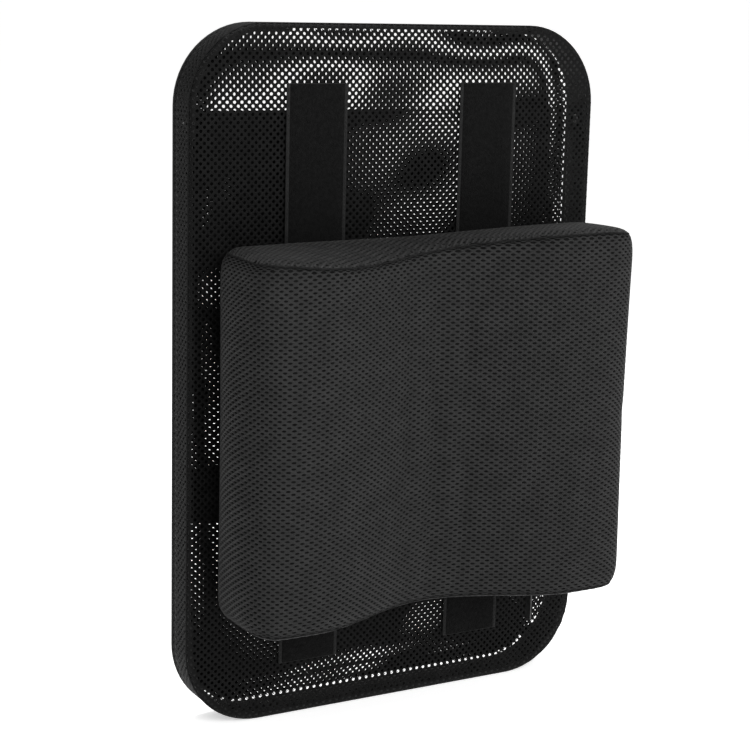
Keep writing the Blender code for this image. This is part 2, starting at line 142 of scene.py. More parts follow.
def newFinish(name, dark, light, roughness, grain=60, **shaderValues):
    # a Principled material whose colour drifts between two tones
    made = bpy.data.materials.new(name)
    made.use_nodes = True
    tree = made.node_tree
    shader = tree.nodes["Principled BSDF"]
    shader.inputs["Roughness"].default_value = roughness
    for socket, value in shaderValues.items():
        shader.inputs[socket.replace("_", " ")].default_value = value
    place = tree.nodes.new("ShaderNodeTexCoord")
    drift = tree.nodes.new("ShaderNodeTexNoise")
    drift.inputs["Scale"].default_value = grain
    drift.inputs["Detail"].default_value = 3
    tone = tree.nodes.new("ShaderNodeValToRGB")
    tone.color_ramp.elements[0].position = 0.35
    tone.color_ramp.elements[0].color = (*dark, 1)
    tone.color_ramp.elements[1].position = 0.68
    tone.color_ramp.elements[1].color = (*light, 1)
    tree.links.new(place.outputs["Object"], drift.inputs["Vector"])
    tree.links.new(drift.outputs["Fac"], tone.inputs["Fac"])
    tree.links.new(tone.outputs["Color"], shader.inputs["Base Color"])
    return made


def addBump(made, height, depth, strength=1.0):
    # stacks one more bump on whatever already drives the normal
    tree = made.node_tree
    shader = tree.nodes["Principled BSDF"]
    bump = tree.nodes.new("ShaderNodeBump")
    bump.inputs["Distance"].default_value = depth
    bump.inputs["Strength"].default_value = strength
    tree.links.new(height, bump.inputs["Height"])
    if shader.inputs["Normal"].links:
        tree.links.new(shader.inputs["Normal"].links[0].from_socket, bump.inputs["Normal"])
    tree.links.new(bump.outputs["Normal"], shader.inputs["Normal"])


def ribs(made, period, turn=(0, 0, 0)):
    # straight ribs across X after turning the pattern
    tree = made.node_tree
    place = tree.nodes["Texture Coordinate"]
    mapping = tree.nodes.new("ShaderNodeMapping")
    mapping.inputs["Rotation"].default_value = [math.radians(angle) for angle in turn]
    wave = tree.nodes.new("ShaderNodeTexWave")
    wave.inputs["Scale"].default_value = math.pi / 10 / period
    wave.inputs["Distortion"].default_value = 0.6
    wave.inputs["Detail"].default_value = 1
    tree.links.new(place.outputs["Object"], mapping.inputs["Vector"])
    tree.links.new(mapping.outputs["Vector"], wave.inputs["Vector"])
    return wave.outputs["Fac"]


def fuzz(made, size, detail=3):
    tree = made.node_tree
    place = tree.nodes["Texture Coordinate"]
    noise = tree.nodes.new("ShaderNodeTexNoise")
    noise.inputs["Scale"].default_value = 1 / size
    noise.inputs["Detail"].default_value = detail
    tree.links.new(place.outputs["Object"], noise.inputs["Vector"])
    return noise.outputs["Fac"]


def cells(made, size):
    tree = made.node_tree
    place = tree.nodes["Texture Coordinate"]
    spots = tree.nodes.new("ShaderNodeTexVoronoi")
    spots.inputs["Scale"].default_value = 1 / size
    tree.links.new(place.outputs["Object"], spots.inputs["Vector"])
    return spots.outputs["Distance"]


def grey(value, warm=0.0):
    return (value * (1 + warm), value, value * (1 - warm))


panelKnitFinish = newFinish("panel knit", grey(0.0018), grey(0.0038), 0.55, 90,
                            Sheen_Weight=0.006, Sheen_Roughness=0.4, Specular_IOR_Level=0.07)
addBump(panelKnitFinish, ribs(panelKnitFinish, 0.00042, (0, 45, 0)), 0.00008, 0.6)
addBump(panelKnitFinish, fuzz(panelKnitFinish, 0.0005), 0.00008, 0.5)


def coverFinish(name, dark, light):
    made = newFinish(name, dark, light, 0.58, 70, Sheen_Weight=0.04, Sheen_Roughness=0.4,
                     Specular_IOR_Level=0.20)
    addBump(made, ribs(made, 0.00045, (0, 40, 20)), 0.00010, 0.6)
    addBump(made, fuzz(made, 0.0006), 0.00010, 0.6)
    return made


def paintedGrooveShade(made, wave, depth):
    # painted shade: darkens the base colour in the low parts of a wave, where shade falls in the hollows
    # between ribs
    tree = made.node_tree
    shader = tree.nodes["Principled BSDF"]
    mix = tree.nodes.new("ShaderNodeMix")
    mix.data_type = "RGBA"
    mix.blend_type = "MULTIPLY"
    level = tree.nodes.new("ShaderNodeMapRange")
    level.inputs["To Min"].default_value = depth
    tree.links.new(wave, level.inputs["Value"])
    tree.links.new(shader.inputs["Base Color"].links[0].from_socket, mix.inputs["A"])
    tree.links.new(level.outputs["Result"], mix.inputs["B"])
    mix.inputs["Factor"].default_value = 1
    tree.links.new(mix.outputs["Result"], shader.inputs["Base Color"])


coverKnitFinish = coverFinish("cover knit", grey(0.008), grey(0.0135))
topKnitFinish = coverFinish("cover knit, ribbed end", grey(0.008), grey(0.014))
topRibs = ribs(topKnitFinish, 0.0042, (0, 0, 45))
addBump(topKnitFinish, topRibs, 0.0012, 0.9)
# painted shade in the hollows between the top's ribs, down to 0.18 of the knit's colour
paintedGrooveShade(topKnitFinish, topRibs, 0.18)

linerFinish = newFinish("inner lining", grey(0.004), grey(0.007), 0.9, 120, Specular_IOR_Level=0.05)
addBump(linerFinish, fuzz(linerFinish, 0.0009), 0.0002, 0.8)

seamFinish = newFinish("sewn seam", grey(0.004), grey(0.009), 0.8, 300, Specular_IOR_Level=0.1)
addBump(seamFinish, fuzz(seamFinish, 0.0006), 0.0002, 0.8)

pileFinish = newFinish("loop pile", grey(0.0025), grey(0.0050), 0.95, 420, Sheen_Weight=0.012,
                       Sheen_Roughness=0.6, Specular_IOR_Level=0.05)
addBump(pileFinish, cells(pileFinish, 0.0011), 0.0005, 0.9)
addBump(pileFinish, fuzz(pileFinish, 0.0004), 0.0003, 0.9)

hookFinish = newFinish("hook tape", grey(0.006), grey(0.010), 0.6, 300, Specular_IOR_Level=0.25)
addBump(hookFinish, cells(hookFinish, 0.0013), 0.0005, 1.0)

selvageFinish = newFinish("woven selvage", grey(0.006), grey(0.011), 0.75, 200, Sheen_Weight=0.03,
                          Specular_IOR_Level=0.15)
addBump(selvageFinish, ribs(selvageFinish, 0.0007, (0, 90, 0)), 0.00015, 0.9)

threadFinish = newFinish("sewing thread", grey(0.007), grey(0.013), 0.55, 500, Specular_IOR_Level=0.2)
addBump(threadFinish, ribs(threadFinish, 0.00035, (0, 40, 0)), 0.00008, 0.8)

webFinish = newFinish("elastic webbing", grey(0.007), grey(0.012), 0.7, 160, Sheen_Weight=0.04,
                      Sheen_Roughness=0.5, Specular_IOR_Level=0.2)
addBump(webFinish, ribs(webFinish, 0.0011), 0.00025, 0.8)
addBump(webFinish, ribs(webFinish, 0.0009, (0, 90, 0)), 0.00012, 0.7)
addBump(webFinish, fuzz(webFinish, 0.0004), 0.00008, 0.5)

tapeFinish = newFinish("zip tape", grey(0.007), grey(0.012), 0.8, 200, Sheen_Weight=0.03,
                       Specular_IOR_Level=0.15)
addBump(tapeFinish, ribs(tapeFinish, 0.0008, (0, 0, 35)), 0.00015, 0.8)

nylonFinish = newFinish("zip nylon", grey(0.014), grey(0.020), 0.38, 200, Specular_IOR_Level=0.5)
addBump(nylonFinish, fuzz(nylonFinish, 0.0006), 0.00005, 0.4)

metalFinish = newFinish("black zip metal", grey(0.035), grey(0.055), 0.34, 150, Metallic=0.7)
addBump(metalFinish, fuzz(metalFinish, 0.0010), 0.00005, 0.4)

plasticFinish = newFinish("moulded plastic", grey(0.012), grey(0.017), 0.42, 90, Specular_IOR_Level=0.45)
addBump(plasticFinish, fuzz(plasticFinish, 0.0005, 2), 0.00005, 0.6)

hoopFinish = newFinish("hoop plastic", grey(0.010), grey(0.016), 0.5, 60, Specular_IOR_Level=0.4)
addBump(hoopFinish, fuzz(hoopFinish, 0.0008, 2), 0.00006, 0.6)

steelFinish = newFinish("rivet steel", grey(0.36), grey(0.48), 0.32, 220, Metallic=1.0)
addBump(steelFinish, fuzz(steelFinish, 0.0007), 0.00004, 0.5)
print("finishes")


# ---- Ways of making pieces ----

def deselectAll():
    if bpy.context.object and bpy.context.object.mode != "OBJECT":
        bpy.ops.object.mode_set(mode="OBJECT")
    bpy.ops.object.select_all(action="DESELECT")


def only(piece):
    deselectAll()
    piece.select_set(True)
    bpy.context.view_layer.objects.active = piece


def settle(piece, body, slot, finish, *nodes, smooth=None):
    # finish, body, slot (not used) and the CAD nodes that a finished piece stands for
    only(piece)
    bpy.ops.object.transform_apply(location=True, rotation=True, scale=True)
    if smooth is not None:
        bpy.ops.object.shade_smooth_by_angle(angle=math.radians(smooth))
    piece.data.materials.clear()
    piece.data.materials.append(finish)
    if body:
        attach(piece, body)
    if nodes:
        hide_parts(*nodes)
    deselectAll()
    return piece


def meshPiece(name, points, faces):
    mesh = bpy.data.meshes.new(name)
    mesh.from_pydata([tuple(point) for point in points], [], faces)
    mesh.update()
    piece = bpy.data.objects.new(name, mesh)
    scene.collection.objects.link(piece)
    return piece


def applyAll(piece):
    only(piece)
    for modifier in list(piece.modifiers):
        bpy.ops.object.modifier_apply(modifier=modifier.name)


def outlineDistance(flat, half, radius):
    # distance outside a rounded rectangle, the nearest point on it and the way out
    inner = np.array(half) - radius
    past = np.abs(flat) - inner
    beyond = np.maximum(past, 0)
    length = np.linalg.norm(beyond, axis=1)
    corner = (past > 0).all(axis=1)
    side = np.zeros_like(past)
    side[np.arange(len(past)), past.argmax(axis=1)] = 1
    way = np.where(corner[:, None], beyond / np.maximum(length, 1e-9)[:, None], side)
    way = way * np.where(flat < 0, -1.0, 1.0)
    distance = np.where(corner, length, past.max(axis=1)) - radius
    return distance, flat - way * distance[:, None], way


def smoothStep(share):
    share = np.clip(share, 0, 1)
    return share * share * (3 - 2 * share)


def latticeCells(low, high, knit, keep):
    # staggered cells, counted in half pitches and rows, whose middles are kept
    step = np.array([knit["pitch"] / 2, knit["row"]])
    start = np.floor(np.array(low) / step).astype(int)
    end = np.ceil(np.array(high) / step).astype(int)
    grid = np.stack(np.meshgrid(np.arange(start[0], end[0] + 1), np.arange(start[1], end[1] + 1)), -1)
    grid = grid.reshape(-1, 2)
    grid = grid[grid.sum(axis=1) % 2 == 0]
    return grid[keep(grid * step + np.array(knit.get("shift", (0, 0))))]


def latticeSheet(name, found, knit, place, flip=False, around=None):
    # a net: each cell is a diamond with an eight-sided hole, and neighbours share corners
    step = np.array([knit["pitch"] / 2, knit["row"]])
    count = len(found)
    corners = np.concatenate([found + way for way in ((1, 0), (0, 1), (-1, 0), (0, -1))])
    if around:
        corners[:, 0] %= around
    knots, index = np.unique(corners, axis=0, return_inverse=True)
    index = index.reshape(4, count)
    angles = np.radians(22.5 + 45 * np.arange(8))
    rim = np.stack([np.cos(angles) * knit["hole"][0] / 2, np.sin(angles) * knit["hole"][1] / 2], -1)
    size = knit["size"](found * step) if "size" in knit else np.ones(count)
    holes = (found * step)[:, None, :] + rim[None] * size[:, None, None]
    flat = np.concatenate([knots * step, holes.reshape(-1, 2)]) + np.array(knit.get("shift", (0, 0)))
    depth = np.concatenate([np.zeros(len(knots)), np.full(8 * count, knit["roll"])])
    points = place(flat, depth)
    first = len(knots) + 8 * np.arange(count)
    faces = []
    for k in range(4):
        before, after, later = first + (2 * k - 1) % 8, first + 2 * k, first + 2 * k + 1
        faces += np.stack([before, index[k], after], 1).tolist()
        faces += np.stack([index[k], index[(k + 1) % 4], later, after], 1).tolist()
    if flip:
        faces = [face[::-1] for face in faces]
    piece = meshPiece(name, points, faces)
    only(piece)
    bpy.ops.object.mode_set(mode="EDIT")
    bpy.ops.mesh.select_all(action="SELECT")
    bpy.ops.mesh.dissolve_degenerate(threshold=0.00003)
    bpy.ops.object.mode_set(mode="OBJECT")
    piece.data.shade_smooth()
    return piece


def tube(name, points, radius, closed=False, sides=2):
    # a round cord through points, made solid
    curve = bpy.data.curves.new(name, "CURVE")
    curve.dimensions = "3D"
    curve.bevel_depth = radius
    curve.bevel_resolution = sides
    curve.use_fill_caps = not closed
    spline = curve.splines.new("POLY")
    spline.points.add(len(points) - 1)
    for knot, point in zip(spline.points, points):
        knot.co = (*point, 1)
    spline.use_cyclic_u = closed
    piece = bpy.data.objects.new(name, curve)
    scene.collection.objects.link(piece)
    only(piece)
    bpy.ops.object.convert(target="MESH")
    piece = bpy.context.active_object
    piece.data.shade_smooth()
    return piece


def roundedOutline(half, radius, y, steps=12):
    points = []
    for signX, signZ, turn in ((1, 1, 0), (-1, 1, 90), (-1, -1, 180), (1, -1, 270)):
        for step in range(steps + 1):
            angle = math.radians(turn + 90 * step / steps)
            points.append(Vector((signX * (half[0] - radius) + radius * math.cos(angle), y,
                                  signZ * (half[1] - radius) + radius * math.sin(angle))))
    return points


def evenly(points, pitch, closed=False):
    # places and directions at an even pitch along a line of points
    run = [Vector(point) for point in points] + ([Vector(points[0])] if closed else [])
    lengths = [(b - a).length for a, b in zip(run, run[1:])]
    total = sum(lengths)
    count = max(1, round(total / pitch))
    found = []
    for k in range(count):
        target = (k + 0.5) * total / count
        for a, b, length in zip(run, run[1:], lengths):
            if target <= length:
                found.append((a + (b - a) * (target / length), (b - a).normalized()))
                break
            target -= length
    return found


def stitches(name, places, stitch, finish, body, slot):
    # one stitch, copied to each place: a point, a direction and the way out of the cloth
    deselectAll()
    bpy.ops.mesh.primitive_uv_sphere_add(segments=6, ring_count=4, radius=1)
    model = bpy.context.active_object
    model.scale = (stitch["length"] / 2, stitch["width"] / 2, stitch["width"] / 2.4)
    bpy.ops.object.transform_apply(location=False, rotation=False, scale=True)
    copies = []
    for point, along, out in places:
        copy = model.copy()
        copy.data = model.data.copy()
        side = out.cross(along).normalized()
        turn = Matrix((along, side, along.cross(side))).transposed()
        copy.matrix_world = Matrix.Translation(point) @ turn.to_4x4()
        scene.collection.objects.link(copy)
        copies.append(copy)
    bpy.data.objects.remove(model)
    deselectAll()
    for copy in copies:
        copy.select_set(True)
    bpy.context.view_layer.objects.active = copies[0]
    bpy.ops.object.join()
    piece = bpy.context.active_object
    piece.name = name
    piece.data.shade_smooth()
    return settle(piece, body, slot, finish)


def block(name, low, high, rounding=0.0, segments=2):
    # a box between two corners with bevelled edges
    low, high = Vector(low), Vector(high)
    deselectAll()
    bpy.ops.mesh.primitive_cube_add(size=1, location=(low + high) / 2)
    piece = bpy.context.active_object
    piece.name = name
    piece.scale = high - low
    bpy.ops.object.transform_apply(location=True, rotation=True, scale=True)
    if rounding:
        bpy.ops.object.mode_set(mode="EDIT")
        bpy.ops.mesh.select_all(action="SELECT")
        bpy.ops.mesh.bevel(offset=rounding, segments=segments, affect="EDGES")
        bpy.ops.object.mode_set(mode="OBJECT")
    return piece


# ---- Panel sleeve ----

panelKnit = {
    "pitch": 0.0058,          # between holes along a row
    "row": 0.00287,           # between rows
    "hole": (0.0025, 0.0025),
    "roll": 0.00035,          # how far a hole's rim rolls back
    "clear": 0.0004,          # from a sheet's edge to its outermost holes' middles
}
sideKnit = {"hole": (0.0021, 0.0021), "overFront": 0.0004, "overRear": 0.0002}
rearKnit = {"inset": 0.0037, "pitch": 0.00586, "shift": (0.0026, 0.0017), "hole": (0.0026, 0.0026)}
backingKnit = {"gap": 0.0052, "pitch": 0.00574, "shift": (0.0010, 0.0015), "hole": (0.0019, 0.0019)}
perimeter = 4 * (halfWidth + halfHeight - 2 * cornerRadius) + 2 * math.pi * cornerRadius
meshThick = 0.0008
rearDish = {
    "depth": -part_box("rear_mesh")[0].y - meshThick,
    "start": 0.004,           # from the panel's outline
    "reach": 0.034,
}
rearPull = [                  # how unevenly the rear mesh is stretched: swing, waves up and across, phase
    (0.0007, 1 / 0.17, 1 / 0.11, 0),
    (0.0009, 1 / 0.073, -1 / 0.15, 2.4),
]


def dishDepth(inside):
    return rearDish["depth"] * smoothStep((inside - rearDish["start"]) / rearDish["reach"])


def pulled(flat):
    move = np.zeros(len(flat))
    for swing, up, across, phase in rearPull:
        move += swing * np.sin(2 * math.pi * (flat[:, 1] * up + flat[:, 0] * across) + phase)
    return np.stack([flat[:, 0] - move, flat[:, 1]], -1)


def frontPlace(flat, depth):
    half = (halfWidth - shoulder, halfHeight - shoulder)
    past, nearest, way = outlineDistance(flat, half, cornerRadius - shoulder)
    past = np.minimum(past, shoulder * math.pi / 2)
    bend = past > 0
    turn = np.where(bend, past / shoulder, 0)
    radius = shoulder - depth
    out = np.where(bend, radius * np.sin(turn), 0)
    back = np.where(bend, shoulder - radius * np.cos(turn), depth)
    base = np.where(bend[:, None], nearest, flat) + way * out[:, None]
    return np.stack([base[:, 0], frontY + back, base[:, 1]], -1)


def makeFrontSheet():
    half = (halfWidth - shoulder, halfHeight - shoulder)
    limit = shoulder * math.pi / 2 - 0.0008

    def keep(flat):
        return outlineDistance(flat, half, cornerRadius - shoulder)[0] < limit

    reach = (halfWidth + shoulder, halfHeight + shoulder)
    found = latticeCells((-reach[0], -reach[1]), reach, panelKnit, keep)
    sheet = latticeSheet("front_mesh_knit", found, panelKnit, frontPlace)
    settle(sheet, "panel", "mesh_knit", panelKnitFinish, "front_mesh")
    return sheet


def aroundOutline(u):
    # points and ways out at distances u along the outline, from the middle of the right side up
    straightX, straightZ = halfWidth - cornerRadius, halfHeight - cornerRadius
    arc = cornerRadius * math.pi / 2
    u = np.mod(u, perimeter)
    x, z, wayX, wayZ = (np.zeros_like(u) for _ in range(4))
    runs = [("z", 1, straightZ), ("arc", 0, arc), ("x", 1, 2 * straightX), ("arc", 1, arc),
            ("z", -1, 2 * straightZ), ("arc", 2, arc), ("x", -1, 2 * straightX), ("arc", 3, arc),
            ("z", 1, straightZ)]
    start = 0.0
    for number, (kind, turn, length) in enumerate(runs):
        here = (u >= start) & (u <= start + length)
        t = u[here] - start
        if kind == "z":
            x[here] = turn * halfWidth
            fromZ = 0 if number == 0 else (straightZ if turn < 0 else -straightZ)
            z[here] = fromZ + turn * t
            wayX[here], wayZ[here] = turn, 0
        elif kind == "x":
            x[here] = turn * (straightX - t)
            z[here] = turn * halfHeight
            wayX[here], wayZ[here] = 0, turn
        else:
            angle = turn * math.pi / 2 + t / cornerRadius
            wayX[here], wayZ[here] = np.cos(angle), np.sin(angle)
            x[here] = (straightX if turn in (0, 3) else -straightX) + cornerRadius * np.cos(angle)
            z[here] = (straightZ if turn in (0, 1) else -straightZ) + cornerRadius * np.sin(angle)
        start += length
    return x, z, wayX, wayZ


def makeSideBand():
    front = frontY + shoulder
    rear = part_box("side_mesh")[1].y
    count = 2 * round(perimeter / panelKnit["pitch"])
    knit = dict(panelKnit, pitch=2 * perimeter / count, hole=sideKnit["hole"])

    def keep(flat):
        return (flat[:, 1] > front) & (flat[:, 1] < rear) & (flat[:, 0] > -1e-6) \
            & (flat[:, 0] < perimeter - 1e-6)

    def place(flat, depth):
        x, z, wayX, wayZ = aroundOutline(flat[:, 0])
        y = np.clip(flat[:, 1], front - sideKnit["overFront"], rear + sideKnit["overRear"])
        return np.stack([x - wayX * depth, y, z - wayZ * depth], -1)

    found = latticeCells((0, front), (perimeter, rear), knit, keep)
    band = latticeSheet("side_mesh_knit", found, knit, place, flip=True, around=count)
    settle(band, "panel", "mesh_knit", panelKnitFinish, "side_mesh")
    return band


def makeRearSheet():
    inset = rearKnit["inset"]
    half = (halfWidth - inset, halfHeight - inset)
    knit = dict(panelKnit, **rearKnit)

    def keep(flat):
        return outlineDistance(flat, half, cornerRadius - inset)[0] < -panelKnit["clear"]

    def place(flat, depth):
        flat = pulled(flat)
        past, nearest, way = outlineDistance(flat, half, cornerRadius - inset)
        base = np.where((past > 0)[:, None], nearest, flat)
        return np.stack([base[:, 0], -depth - dishDepth(inset - past), base[:, 1]], -1)

    found = latticeCells((-half[0], -half[1]), half, knit, keep)
    sheet = latticeSheet("rear_mesh_knit", found, knit, place, flip=True)
    settle(sheet, "panel", "mesh_knit", panelKnitFinish, "rear_mesh")
    return sheet


def makeBackingSheet():
    low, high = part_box("backing_mesh")
    half = (high.x, -low.z)
    gap = backingKnit["gap"]  # from the rear edge
    inset = halfWidth - high.x
    knit = dict(panelKnit, **backingKnit)

    def keep(flat):
        inside = outlineDistance(flat, half, cornerRadius - inset)[0] < -panelKnit["clear"]
        return inside & (flat[:, 1] < high.z)

    def place(flat, depth):
        past, nearest, way = outlineDistance(flat, half, cornerRadius - inset)
        base = np.where((past > 0)[:, None], nearest, flat)
        z = np.minimum(base[:, 1], high.z)
        return np.stack([base[:, 0], -gap - depth - dishDepth(inset - past), z], -1)

    found = latticeCells((-half[0], -half[1]), half, knit, keep)
    sheet = latticeSheet("backing_mesh_knit", found, knit, place)
    settle(sheet, "panel", "mesh_knit", panelKnitFinish, "backing_mesh")
    return sheet


piping = {"radius": 0.0018, "whipPitch": 0.0032, "seamRadius": 0.00075}


def makePiping():
    low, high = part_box("rear_piping")
    radius = piping["radius"]
    y = (low.y + high.y) / 2
    line = roundedOutline((halfWidth - radius, halfHeight - radius), cornerRadius - radius, y, 16)
    cord = tube("rear_piping_cord", line, radius, closed=True, sides=4)
    settle(cord, "panel", "webbing", webFinish, "rear_piping")
    seam = roundedOutline((halfWidth - 0.0002, halfHeight - 0.0002), cornerRadius - 0.0002,
                          frontY + shoulder, 16)
    ridge = tube("front_seam_ridge", seam, piping["seamRadius"], closed=True, sides=2)
    settle(ridge, "panel", "mesh_knit", seamFinish)
    places = [(point + Vector((0, -radius * 1.02, 0)), along, Vector((0, -1, 0)))
              for point, along in evenly(line, piping["whipPitch"], closed=True)]
    stitches("rear_piping_stitches", places, {"length": 0.0022, "width": 0.0005},
             threadFinish, "panel", "webbing")


makeFrontSheet()
makeSideBand()
makeRearSheet()
makeBackingSheet()
makePiping()
print("panel sleeve")


# ---- Hook-and-loop strips ----

strip = {
    "selvage": 0.0026,        # woven edge of the tape
    "rounding": 0.0005,
    "stitchPitch": 0.0034,
    "stitch": {"length": 0.0026, "width": 0.00055},
    "stitchInset": 0.0013,
}


def makeStrip(node, name, body, padFinish, padSlot, faceOut):
    # a tape with a woven edge and a raised pad of pile or hooks
    low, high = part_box(node)
    base = block(name + "_tape", (low.x, low.y + 0.0004 * (faceOut < 0), low.z),
                 (high.x, high.y - 0.0004 * (faceOut > 0), high.z), strip["rounding"])
    settle(base, body, padSlot, selvageFinish, node, smooth=40)
    edge = strip["selvage"]
    pad = block(name + "_pad", (low.x + edge, low.y, low.z + 0.0005),
                (high.x - edge, high.y, high.z - 0.0005), 0.0004)
    only(pad)
    bpy.ops.object.mode_set(mode="EDIT")
    bpy.ops.mesh.select_all(action="SELECT")
    bpy.ops.mesh.subdivide(number_cuts=5)
    bpy.ops.object.mode_set(mode="OBJECT")
    settle(pad, body, padSlot, padFinish, smooth=50)
    face = low.y if faceOut < 0 else high.y
    inset = strip["stitchInset"]
    corners = [Vector((low.x + inset, face, low.z + inset)), Vector((high.x - inset, face, low.z + inset)),
               Vector((high.x - inset, face, high.z - inset)), Vector((low.x + inset, face, high.z - inset))]
    lift = Vector((0, faceOut * -0.0003, 0))
    places = [(point + lift, along, Vector((0, faceOut, 0)))
              for point, along in evenly(corners, strip["stitchPitch"], closed=True)]
    stitches(name + "_stitches", places, strip["stitch"], threadFinish, body, padSlot)


for sideName in ("left", "right"):
    makeStrip("loop_strip_" + sideName, "loop_" + sideName, "panel", pileFinish, "loop_pile", -1)
    makeStrip("hook_strip_" + sideName, "hook_" + sideName, "cushion", hookFinish, "hook_tape", 1)
print("hook-and-loop strips")


# ---- Cushion ----

coverLow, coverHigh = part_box("cushion_cover")
cushion = {
    "centreX": (coverLow.x + coverHigh.x) / 2,
    "half": (coverHigh.x - coverLow.x) / 2,
    "rear": coverHigh.y,
    "wing": coverHigh.y - coverLow.y,
    "recess": 0.046,          # thickness at the middle
    "reach": 0.112,           # from the middle to the crest of each wing
    "frontCorner": 0.026,
    "rearCorner": 0.016,
    "low": coverLow.z,
    "high": coverHigh.z,
    "lift": 0.0030,           # of the soft top over the stiff form, at the left end
    "rise": 0.0055,           # and how much more at the right end
    "seamDrop": 0.0030,       # of the top front seam below the rear edge, on average
    "seamWave": 0.0070,       # its rise and fall along the cushion
    "seamMiddle": 0.032,
    "seamHalfWave": 0.175,
    "frontEdge": 0.007,       # rounding of the rims
    "sideEdge": 0.014,
    "rearEdge": 0.010,
    "cover": 0.0012,
    "slack": 0.0030,          # how much smaller the pad starts
    "middleInset": 0.040,     # from each end to the end of the pad's middle line
    "rings": (1.0, 0.66, 0.33),
    "rimSteps": 4,
    "merge": 0.0003,
    "voxel": 0.0050,
    "pressure": 4.0,
    "frames": 20,
    "cap": 0.0065,            # the furthest that a point may swell
    "pinTop": 0.0065,         # how far from each face or rim the pad is pinned
    "pinLow": 0.0105,
    "pinFront": 0.0125,
    "pinRear": 0.007,
    "smoothing": 0.5,
    "smoothPasses": 4,
    "probe": 0.015,           # from outside the pad, where the cover looks for it
    "probeLimit": 0.014,
}


def cushionFront(x):
    share = smoothStep(np.abs(x) / cushion["reach"])
    return cushion["rear"] - cushion["recess"] - (cushion["wing"] - cushion["recess"]) * share


def arcPoints(x, y, radius, start, end, steps):
    turns = np.radians(np.linspace(start, end, steps + 1))
    return [(x + radius * math.cos(turn), y + radius * math.sin(turn)) for turn in turns]


def cushionPlan(steps=48):
    # the pad from above, from the middle of its rear face round its left side to the front and back
    half, fore, aft = cushion["half"], cushion["frontCorner"], cushion["rearCorner"]
    rear = cushion["rear"]
    wing = float(cushionFront(np.array(half)))
    span = half - fore
    points = [(x, rear) for x in np.linspace(0, -half + aft, 16)[:-1]]
    points += arcPoints(-half + aft, rear - aft, aft, 90, 180, 8)
    points += [(-half, y) for y in np.linspace(rear - aft, wing + fore, 8)[1:-1]]
    points += arcPoints(-half + fore, wing + fore, fore, 180, 270, 12)
    points += [(x, float(cushionFront(np.array(x)))) for x in np.linspace(-span, span, steps)[1:-1]]
    points += arcPoints(half - fore, wing + fore, fore, 270, 360, 12)
    points += [(half, y) for y in np.linspace(wing + fore, rear - aft, 8)[1:-1]]
    points += arcPoints(half - aft, rear - aft, aft, 0, 90, 8)
    points += [(x, rear) for x in np.linspace(half - aft, 0, 16)[1:-1]]
    return np.array(points)


def planSide(points):
    # which way round the points run, as a sign
    x, y = points[:, 0], points[:, 1]
    return 1.0 if np.sum(x * np.roll(y, -1) - np.roll(x, -1) * y) > 0 else -1.0


def planNormals(points):
    ahead = np.roll(points, -1, axis=0) - np.roll(points, 1, axis=0)
    length = np.linalg.norm(ahead, axis=1)[:, None]
    ahead = ahead / length
    return np.stack([-ahead[:, 1], ahead[:, 0]], -1) * -1 * planSide(points)


def seamHeight(x):
    wave = np.sin(math.pi * (x - cushion["seamMiddle"]) / cushion["seamHalfWave"])
    return cushion["high"] - cushion["seamDrop"] + cushion["seamWave"] * wave


def topHeight(x, y):
    # the top face runs from the straight rear edge to the tilted front seam
    deep = cushion["rear"] - cushionFront(x)
    share = np.clip((cushion["rear"] - y) / deep, 0, 1)
    worldX = x + cushion["centreX"]
    crown = cushion["lift"] + cushion["rise"] * (x / cushion["half"] + 1) / 2
    return cushion["high"] + crown + (seamHeight(worldX) - cushion["high"]) * smoothStep(share)


def edgeRadius(ways):
    front, rear = np.clip(-ways[:, 1], 0, 1) ** 2, np.clip(ways[:, 1], 0, 1) ** 2
    side = ways[:, 0] ** 2
    return front * cushion["frontEdge"] + rear * cushion["rearEdge"] + side * cushion["sideEdge"]


def makePadForm():
    # rings round the pad, closed towards its middle line at the top and bottom
    plan = cushionPlan()
    ways = planNormals(plan)
    radius = edgeRadius(ways)
    start = plan - ways * cushion["slack"]
    inset = cushion["middleInset"]
    middle = np.stack([np.clip(plan[:, 0], -cushion["half"] + inset, cushion["half"] - inset),
                       np.zeros(len(plan))], -1)
    middle[:, 1] = (cushion["rear"] + cushionFront(middle[:, 0])) / 2
    rings = []
    for top in (False, True):
        half = []
        for share in cushion["rings"]:
            ring = (start - ways * radius[:, None]) * (1 - share) + middle * share
            half.append((ring, np.zeros(len(plan))))
        for step in range(cushion["rimSteps"] + 1):
            turn = math.pi / 2 * step / cushion["rimSteps"]
            half.append((start - ways * (radius * (1 - math.sin(turn)))[:, None],
                         radius * (1 - math.cos(turn))))
        placed = []
        for ring, fall in half:
            if top:
                z = topHeight(ring[:, 0], ring[:, 1]) - cushion["slack"] - fall
            else:
                z = np.full(len(ring), cushion["low"] + cushion["slack"]) + fall
            placed.append(np.stack([ring[:, 0] + cushion["centreX"], ring[:, 1], z], -1))
        rings += placed[::-1] if top else placed
    count = len(plan)
    faces = []
    for level in range(len(rings) - 1):
        for k in range(count):
            after = (k + 1) % count
            faces.append((level * count + k, level * count + after,
                          (level + 1) * count + after, (level + 1) * count + k))
    return meshPiece("cushion_pad", np.concatenate(rings), faces)


